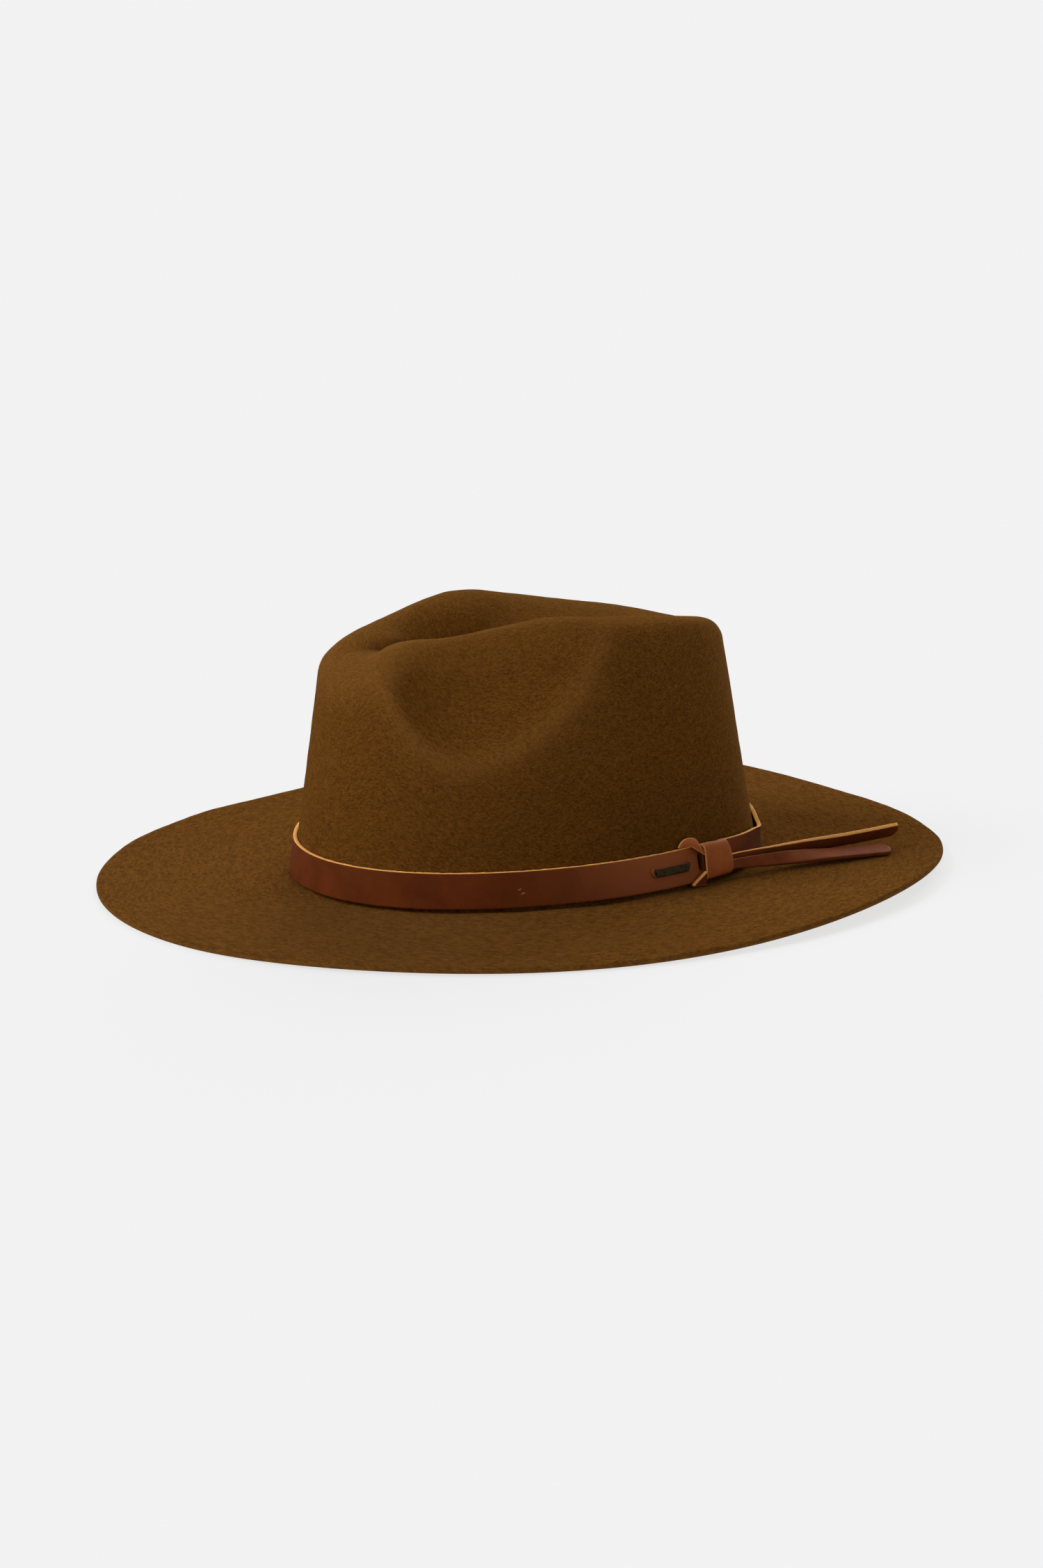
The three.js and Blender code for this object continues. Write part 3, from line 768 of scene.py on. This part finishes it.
def strap_tail(name, tail, material):
    """A free end: along the band, away from the crown, down to the brim, leaning over as it goes."""
    crown = crown_frame(np.radians(KEEPER_TURN))
    heading = Vector(crown["along"])
    heading.z = 0
    heading.normalize()
    place = Vector(crown_place(crown, tail["out"], -TAIL_ROOT * KEEPER_WIDTH, tail["root_up"] * BAND_HEIGHT))
    root_height = place.z - brim_top(place.x, place.y)
    bend_start = TAIL_BEND * KEEPER_WIDTH + tail["bend_late"]
    length = tail["length"]
    middles, across, through, widths = [], [], [], []
    for step in range(TAIL_STEPS + 1):
        gone = lerp(TAIL_START, length, step / TAIL_STEPS)
        swing = math.radians(tail["swing"]) * smoothstep(gone, bend_start, bend_start + KEEPER_WIDTH)
        direction = Matrix.Rotation(-swing, 3, "Z") @ heading
        place = place + direction * (TAIL_START if step == 0 else (length - TAIL_START) / TAIL_STEPS)
        free = float(smoothstep(gone, bend_start, TAIL_FREE * length))
        lean = lerp(-math.acos(crown["up"][2]), math.radians(tail["lean"]), free)
        width = lerp(TAIL_ROOT_WIDTH, TAIL_WIDTH, free)
        half_height = (width * math.cos(lean) + TAIL_THICKNESS * abs(math.sin(lean))) / 2
        share = max(gone - bend_start, 0) / (length - bend_start)
        height = lerp(root_height, half_height + tail["lift"], share) + tail["rise"] * share**3
        to_tip = min((length - gone) / tail["tip"], 1)
        side = direction.cross(Vector((0, 0, 1)))
        edge = Vector((0, 0, math.cos(lean))) + side * math.sin(lean)
        middles.append((place.x, place.y, brim_top(place.x, place.y) + height))
        across.append(np.array(edge))
        through.append(np.array(direction.cross(edge)))
        widths.append(max(width * math.sqrt(1 - (1 - to_tip) ** 2), TAIL_TIP_WIDTH))
    part = strap_part(np.array(middles), across, through, widths, TAIL_THICKNESS, TAIL_UNEVEN, tail["seed"])
    # The lower tail's raw edges are painted dark: painted shade.
    part["raw"] = part["raw"] * tail["edge"]
    return add_parts(name, [part], material)


def tails(upper_material, lower_material):
    dress(strap_tail("strap_end_upper", TAILS["upper"], upper_material), ["tail_upper"])
    dress(strap_tail("strap_end_lower", TAILS["lower"], lower_material), ["tail_lower"])


# Badge

def badge_bracket(along, open_to):
    """A small bent wire that holds one end of the plate, open to one side along the band."""
    angle = np.linspace(-BRACKET["arc"] * math.pi, BRACKET["arc"] * math.pi, BRACKET_POINTS)[:, None]
    round_wire = np.linspace(0, 2 * np.pi, WIRE_POINTS, endpoint=False)[None, :]
    ring = 1 + BRACKET["wire"] * np.cos(round_wire)
    aside = along - open_to * BRACKET["length"] * np.cos(angle) * ring
    up = BADGE_UP + BRACKET["above"] + BRACKET["height"] / 2 * np.sin(angle) * ring
    out = np.broadcast_to(on_band + BRACKET["half_depth"] * (1 + np.sin(round_wire)), up.shape)
    points = round_band(BADGE_TURN, aside, out, up)
    rows, columns = points.shape[:2]
    faces = row_faces(rows, columns)
    if open_to > 0:
        faces = [face[::-1] for face in faces]
    return {"points": points.reshape(-1, 3), "faces": faces, "wire": np.ones(rows * columns)}


def badge_plate(material):
    """The bare plate with slightly rounded ends, and its two brackets."""
    along = np.linspace(-BADGE_LENGTH / 2, BADGE_LENGTH / 2, BADGE_POINTS)
    to_end = np.minimum((BADGE_LENGTH / 2 - np.abs(along)) / BADGE_CORNER, 1)
    widths = BADGE_HEIGHT * lerp(BADGE_END, 1.0, np.sqrt(to_end))
    middles = round_band(BADGE_TURN, along, on_band + BADGE_THICKNESS / 2, BADGE_UP)
    crown = crown_frame(np.radians(BADGE_TURN))
    strap = strap_part(middles, [crown["up"]] * BADGE_POINTS, [crown["out"]] * BADGE_POINTS, widths,
                       BADGE_THICKNESS, BADGE_UNEVEN, BADGE_SEED)
    plate = {"points": strap["points"], "faces": strap["faces"], "wire": np.zeros(len(strap["points"]))}
    parts = [plate, badge_bracket(-BADGE_LENGTH / 2, 1), badge_bracket(BADGE_LENGTH / 2, -1)]
    return dress(add_parts("badge_bar", parts, material), ["badge_plate"])


# Materials

class Nodes:
    """Short names for the shader nodes that the materials use."""

    def __init__(self, name):
        self.material = bpy.data.materials.new(name)
        self.material.use_nodes = True
        self.tree = self.material.node_tree
        self.shader = self.tree.nodes["Principled BSDF"]

    def add(self, kind, **settings):
        node = self.tree.nodes.new(kind)
        for key, value in settings.items():
            setattr(node, key, value)
        return node

    def put(self, value, target):
        if isinstance(value, bpy.types.NodeSocket):
            self.tree.links.new(value, target)
        else:
            target.default_value = value

    def fill(self, node, values):
        for key, value in values.items():
            self.put(value, node.inputs[key])
        return node

    def place(self):
        return self.add("ShaderNodeTexCoord").outputs["Object"]

    def attribute(self, name):
        return self.add("ShaderNodeAttribute", attribute_name=name).outputs["Fac"]

    def math(self, operation, first, second):
        node = self.add("ShaderNodeMath", operation=operation)
        return self.fill(node, {0: first, 1: second}).outputs[0]

    def vector(self, x, y, z):
        node = self.add("ShaderNodeCombineXYZ")
        return self.fill(node, {"X": x, "Y": y, "Z": z}).outputs[0]

    def parts(self, vector):
        node = self.add("ShaderNodeSeparateXYZ")
        return self.fill(node, {0: vector}).outputs

    def noise(self, vector, scale, detail, roughness):
        node = self.add("ShaderNodeTexNoise")
        values = {"Vector": vector, "Scale": scale, "Detail": detail, "Roughness": roughness}
        return self.fill(node, values).outputs["Fac"]

    def spread(self, value, low, high, to_low=0.0, to_high=1.0):
        node = self.add("ShaderNodeMapRange")
        values = {"Value": value, "From Min": low, "From Max": high, "To Min": to_low, "To Max": to_high}
        return self.fill(node, values).outputs["Result"]

    def mix(self, share, first, second):
        node = self.add("ShaderNodeMix", data_type="RGBA")
        return self.fill(node, {"Factor": share, 6: first, 7: second}).outputs[2]

    def bump(self, height, distance, strength, normal=None):
        node = self.add("ShaderNodeBump")
        self.fill(node, {"Height": height, "Distance": distance, "Strength": strength})
        if normal is not None:
            self.put(normal, node.inputs["Normal"])
        return node.outputs["Normal"]

    def finish(self, **inputs):
        for key, value in inputs.items():
            self.put(value, self.shader.inputs[key.replace("_", " ")])
        return self.material


def colour(seen):
    """A linear colour from three values of 0 to 255, as they are seen."""
    def linear(value):
        share = value / 255
        return share / 12.92 if share <= 0.04045 else ((share + 0.055) / 1.055) ** 2.4
    return (*(linear(value) for value in seen), 1.0)


# Looks of the felt: colours as they are seen, noises with their waves to a metre, and bumps in metres
FELT_COLOURS = {
    "fibre_dark": (78, 46, 13),
    "fibre_light": (121, 78, 28),
    "streak_light": (128, 82, 33),
    "streak_dark": (66, 38, 11),
    "cloud": (92, 55, 16),
    # The next two colours are a painted highlight on the felt's ridges and painted shade in its hollows.
    "ridge_highlight": (158, 108, 54),
    "hollow_shade": (70, 40, 11),
    "cut_edge": (112, 76, 38),
    "sheen": (222, 176, 118),
}
FELT_NOISES = {
    "fibre": {"scale": 700, "detail": 3.0, "roughness": 0.6},
    "grain": {"scale": 1700, "detail": 2.0, "roughness": 0.6},
    "streak": {"scale": 250, "detail": 4.0, "roughness": 0.7},
    "cloud": {"scale": 22, "detail": 2.0, "roughness": 0.5},
}
FELT_BUMPS = {
    "streak": {"distance": 0.0008, "strength": 0.3},
    "fibre": {"distance": 0.00055, "strength": 1.0},
    "grain": {"distance": 0.00022, "strength": 0.9},
}

# How the felt's colours spread: from low to high of what drives them, to the strength that they get.
# The streaks are strong on the brim and weaker on the crown, by height in metres. The painted highlight
# on ridges and the painted shade in hollows go by how far the felt stands out, in millimetres.
FLOW_STRETCH = 2.2
CUT_LIGHTENING = 0.35
FELT_SPREADS = {
    "fibre": {"low": 0.32, "high": 0.68},
    "streak_by_height": {"low": 0.010, "high": 0.030, "to_low": 0.60, "to_high": 0.22},
    "streak_light": {"low": 0.5, "high": 0.64},
    "streak_dark": {"low": 0.5, "high": 0.36},
    "cloud": {"low": 0.3, "high": 0.7, "to_high": 0.22},
    "ridge": {"low": 0.10, "high": 1.2, "to_high": 0.20},
    "hollow": {"low": -0.05, "high": -0.8, "to_high": 0.25},
}


def felt_material():
    """Brushed felt, with a painted highlight on its ridges and painted shade in its hollows. Its streaks run
    round the hat, because their noise is denser down its profile.
    """
    n = Nodes("felt_brown")
    x, y, z = n.parts(n.place())
    flow = n.vector(x, y, n.math("MULTIPLY", n.attribute("down"), FLOW_STRETCH))
    fibre = n.noise(flow, **FELT_NOISES["fibre"])
    grain = n.noise(n.place(), **FELT_NOISES["grain"])
    streak = n.noise(flow, **FELT_NOISES["streak"])
    cloud = n.noise(n.place(), **FELT_NOISES["cloud"])
    ridge = n.attribute("ridge")

    def spread(value, name):
        return n.spread(value, **FELT_SPREADS[name])

    by_height = spread(z, "streak_by_height")
    layers = [
        ("streak_light", n.math("MULTIPLY", spread(streak, "streak_light"), by_height)),
        ("streak_dark", n.math("MULTIPLY", spread(streak, "streak_dark"), by_height)),
        ("cloud", spread(cloud, "cloud")),
        # Painted highlight on the ridges and painted shade in the hollows
        ("ridge_highlight", spread(ridge, "ridge")),
        ("hollow_shade", spread(ridge, "hollow")),
        ("cut_edge", n.math("MULTIPLY", n.attribute("raw"), CUT_LIGHTENING)),
    ]
    colours = {name: colour(seen) for name, seen in FELT_COLOURS.items()}
    base = n.mix(spread(fibre, "fibre"), colours["fibre_dark"], colours["fibre_light"])
    for name, share in layers:
        base = n.mix(share, base, colours[name])
    normal = n.bump(streak, **FELT_BUMPS["streak"])
    normal = n.bump(fibre, **FELT_BUMPS["fibre"], normal=normal)
    normal = n.bump(grain, **FELT_BUMPS["grain"], normal=normal)
    return n.finish(Base_Color=base, Roughness=0.95, Specular_IOR_Level=0.0, Sheen_Weight=0.22,
                    Sheen_Roughness=0.25, Sheen_Tint=colours["sheen"], Normal=normal)


# Looks of the leather. gloss is the specular level, and the band's last colour is what the stretch round the
# badge is painted towards, as painted light.
LEATHERS = {
    "band_leather": {"face": (112, 52, 19), "dark": (92, 42, 15), "edge": (255, 192, 108),
                     "roughness": 0.6, "gloss": 0.04, "lit_stretch": (170, 96, 54)},
    "tail_leather": {"face": (126, 62, 28), "dark": (104, 50, 22), "edge": (255, 192, 108),
                     "roughness": 0.6, "gloss": 0.06},
    # A lighter copy of the tail's leather for the lower tail: painted light.
    "lit_tail_leather": {"face": (146, 76, 40), "dark": (118, 60, 30), "edge": (220, 164, 104),
                     "roughness": 0.6, "gloss": 0.06},
    # The knot is the same strap as the band, painted much lighter: painted light.
    "knot_leather": {"face": (196, 110, 52), "dark": (166, 88, 40), "edge": (250, 188, 116),
                     "roughness": 0.5, "gloss": 0.12},
}
RAW_FIBRE = (240, 166, 90)
# Near black that the slit's groove is painted: painted shade.
SLIT_SHADE = (24, 7, 4)
LIT_STRETCH_SHARE = 0.85
RAW_ROUGHNESS = 0.9
PORE_ROUGHNESS = 0.3
LEATHER_NOISES = {
    "cloud": {"scale": 70, "detail": 4.0, "roughness": 0.6},
    "pores": {"scale": 1400, "detail": 2.0, "roughness": 0.5},
    "fuzz": {"scale": 900, "detail": 3.0, "roughness": 0.6},
}
LEATHER_SPREADS = {
    "cloud": {"low": 0.3, "high": 0.7},
    "pores": {"low": 0.45, "high": 0.75, "to_high": 0.25},
    "fuzz": {"low": 0.3, "high": 0.7},
    "raw": {"low": 0.05, "high": 0.35},
}
LEATHER_BUMPS = {
    "cloud": {"distance": 0.0004, "strength": 0.35},
    "pores": {"distance": 0.00008, "strength": 0.5},
}


def leather_material(name, face, dark, edge, roughness, gloss, lit_stretch=None):
    """Smooth leather with cloudy colour, fine pores and light raw edges."""
    n = Nodes(name)
    place = n.place()
    cloud, pores, fuzz = (n.noise(place, **LEATHER_NOISES[key]) for key in ("cloud", "pores", "fuzz"))
    base = n.mix(n.spread(cloud, **LEATHER_SPREADS["cloud"]), colour(dark), colour(face))
    base = n.mix(n.spread(pores, **LEATHER_SPREADS["pores"]), base, colour(dark))
    raw_edge = n.mix(n.spread(fuzz, **LEATHER_SPREADS["fuzz"]), colour(edge), colour(RAW_FIBRE))
    raw = n.spread(n.attribute("raw"), **LEATHER_SPREADS["raw"])
    if lit_stretch is not None:
        # The stretch round the badge is painted lighter: painted light.
        base = n.mix(n.math("MULTIPLY", n.attribute("lit_stretch"), LIT_STRETCH_SHARE), base, colour(lit_stretch))
        # The slit's groove is painted near black: painted shade.
        base = n.mix(n.attribute("slit"), base, colour(SLIT_SHADE))
    base = n.mix(raw, base, raw_edge)
    unevenness = n.math("MAXIMUM", raw, n.math("MULTIPLY", pores, PORE_ROUGHNESS))
    rough_value = n.spread(unevenness, 0.0, 1.0, roughness, RAW_ROUGHNESS)
    normal = n.bump(cloud, **LEATHER_BUMPS["cloud"])
    normal = n.bump(pores, **LEATHER_BUMPS["pores"], normal=normal)
    return n.finish(Base_Color=base, Roughness=rough_value, Specular_IOR_Level=gloss, Normal=normal)


# Looks of the badge
BRASS_DARK = (50, 44, 30)
BRASS_LIGHT = (84, 76, 52)
WIRE_COLOUR = (156, 116, 68)
PATINA_NOISE = {"scale": 500, "detail": 4.0, "roughness": 0.6}
PATINA_COLOURS = {"low": 0.35, "high": 0.65}
PATINA_ROUGHNESS = {"low": 0.3, "high": 0.7, "to_low": 0.4, "to_high": 0.65}
PATINA_BUMP = {"distance": 0.0003, "strength": 0.8}


def badge_material():
    """Dark aged brass, with lighter wire."""
    n = Nodes("aged_brass")
    patina = n.noise(n.place(), **PATINA_NOISE)
    base = n.mix(n.spread(patina, **PATINA_COLOURS), colour(BRASS_DARK), colour(BRASS_LIGHT))
    base = n.mix(n.attribute("wire"), base, colour(WIRE_COLOUR))
    return n.finish(Base_Color=base, Metallic=1.0, Roughness=n.spread(patina, **PATINA_ROUGHNESS),
                    Normal=n.bump(patina, **PATINA_BUMP))


# Setting

FLOOR_ALBEDO = 0.17
FLOOR_GLOW = 0.72
FLOOR_HALF = 40.0
FLOOR_DROP = 0.3
CAMERA = {"azimuth": 60.0, "elevation": 13.2, "roll": 0.78, "distance": 2.2, "target_height": 0.060}
SENSOR = 36.0
CLIP_END = 200

# The picture's size and scale, and its pixel that the camera's target falls on
IMAGE_WIDTH = 1500
IMAGE_HEIGHT = 2254
PIXELS_PER_METRE = 3380
TARGET_PIXEL = (749, 1048)

WORLD_STRENGTH = 0.30
SUNS = {
    "key_light": {"azimuth": -18, "elevation": 40, "strength": 1.9, "angle": 30},
    "back_light": {"azimuth": 225, "elevation": 28, "strength": 2.1, "angle": 40},
}


def floor_material():
    """A pale floor that glows a little, so that it stays as light as the background."""
    n = Nodes("pale_floor")
    return n.finish(Base_Color=(FLOOR_ALBEDO, FLOOR_ALBEDO, FLOOR_ALBEDO, 1.0), Roughness=0.9,
                    Specular_IOR_Level=0.0, Emission_Color=(1, 1, 1, 1), Emission_Strength=FLOOR_GLOW)


def add_floor():
    corners = [(-1, -1), (1, -1), (1, 1), (-1, 1)]
    points = [(x * FLOOR_HALF / MM, y * FLOOR_HALF / MM, -FLOOR_DROP) for x, y in corners]
    floor = add_mesh("floor", points, [(0, 1, 2, 3)], floor_material())


def direction(azimuth, elevation):
    """The way out to a place, in degrees round from the front and above level."""
    azimuth, elevation = math.radians(azimuth), math.radians(elevation)
    flat = math.cos(elevation)
    return Vector((math.sin(azimuth) * flat, -math.cos(azimuth) * flat, math.sin(elevation)))


def add_camera():
    back = direction(CAMERA["azimuth"], CAMERA["elevation"])
    azimuth, roll = math.radians(CAMERA["azimuth"]), math.radians(CAMERA["roll"])
    level_right = Vector((math.cos(azimuth), math.sin(azimuth), 0))
    level_up = back.cross(level_right)
    right = level_right * math.cos(roll) - level_up * math.sin(roll)
    up = level_up * math.cos(roll) + level_right * math.sin(roll)
    data = bpy.data.cameras.new("camera")
    data.sensor_width = SENSOR
    data.lens = PIXELS_PER_METRE * CAMERA["distance"] * SENSOR / IMAGE_HEIGHT
    data.clip_end = CLIP_END
    camera = bpy.data.objects.new("camera", data)
    bpy.context.scene.collection.objects.link(camera)
    aside = (IMAGE_WIDTH / 2 - TARGET_PIXEL[0]) / PIXELS_PER_METRE
    below = (IMAGE_HEIGHT / 2 - TARGET_PIXEL[1]) / PIXELS_PER_METRE
    target = Vector((0, 0, CAMERA["target_height"]))
    location = target + back * CAMERA["distance"]
    aim = unit(np.array(target + right * aside - up * below - location))
    side = unit(np.cross(aim, np.array(up)))
    over = np.cross(side, aim)
    matrix = Matrix((side, over, -aim)).transposed().to_4x4()
    camera.matrix_world = Matrix.Translation(location) @ matrix
    bpy.context.scene.camera = camera


def add_sun(name, azimuth, elevation, strength, angle):
    data = bpy.data.lights.new(name, "SUN")
    data.energy = strength
    data.angle = math.radians(angle)
    light = bpy.data.objects.new(name, data)
    light.rotation_mode = "QUATERNION"
    light.rotation_quaternion = direction(azimuth, elevation).to_track_quat("Z", "Y")
    bpy.context.scene.collection.objects.link(light)


def add_light():
    world = bpy.data.worlds.new("studio")
    world.use_nodes = True
    background = world.node_tree.nodes["Background"]
    background.inputs["Color"].default_value = (1, 1, 1, 1)
    background.inputs["Strength"].default_value = WORLD_STRENGTH
    bpy.context.scene.world = world
    for name, sun in SUNS.items():
        add_sun(name, **sun)
    bpy.context.scene.view_settings.view_transform = "Standard"


felt_body(felt_material())
leathers = {name: leather_material(name, **look) for name, look in LEATHERS.items()}
hat_band(leathers["band_leather"])
# The keeper and the loop take a much lighter copy of the strap's leather: painted light.
knot_keeper(leathers["knot_leather"])
knot_loop(leathers["knot_leather"])
knot_tuck(leathers["tail_leather"])
# The lower tail takes a lighter copy of the tail's leather: painted light.
tails(leathers["tail_leather"], leathers["lit_tail_leather"])
badge_plate(badge_material())
add_camera()
add_floor()
add_light()
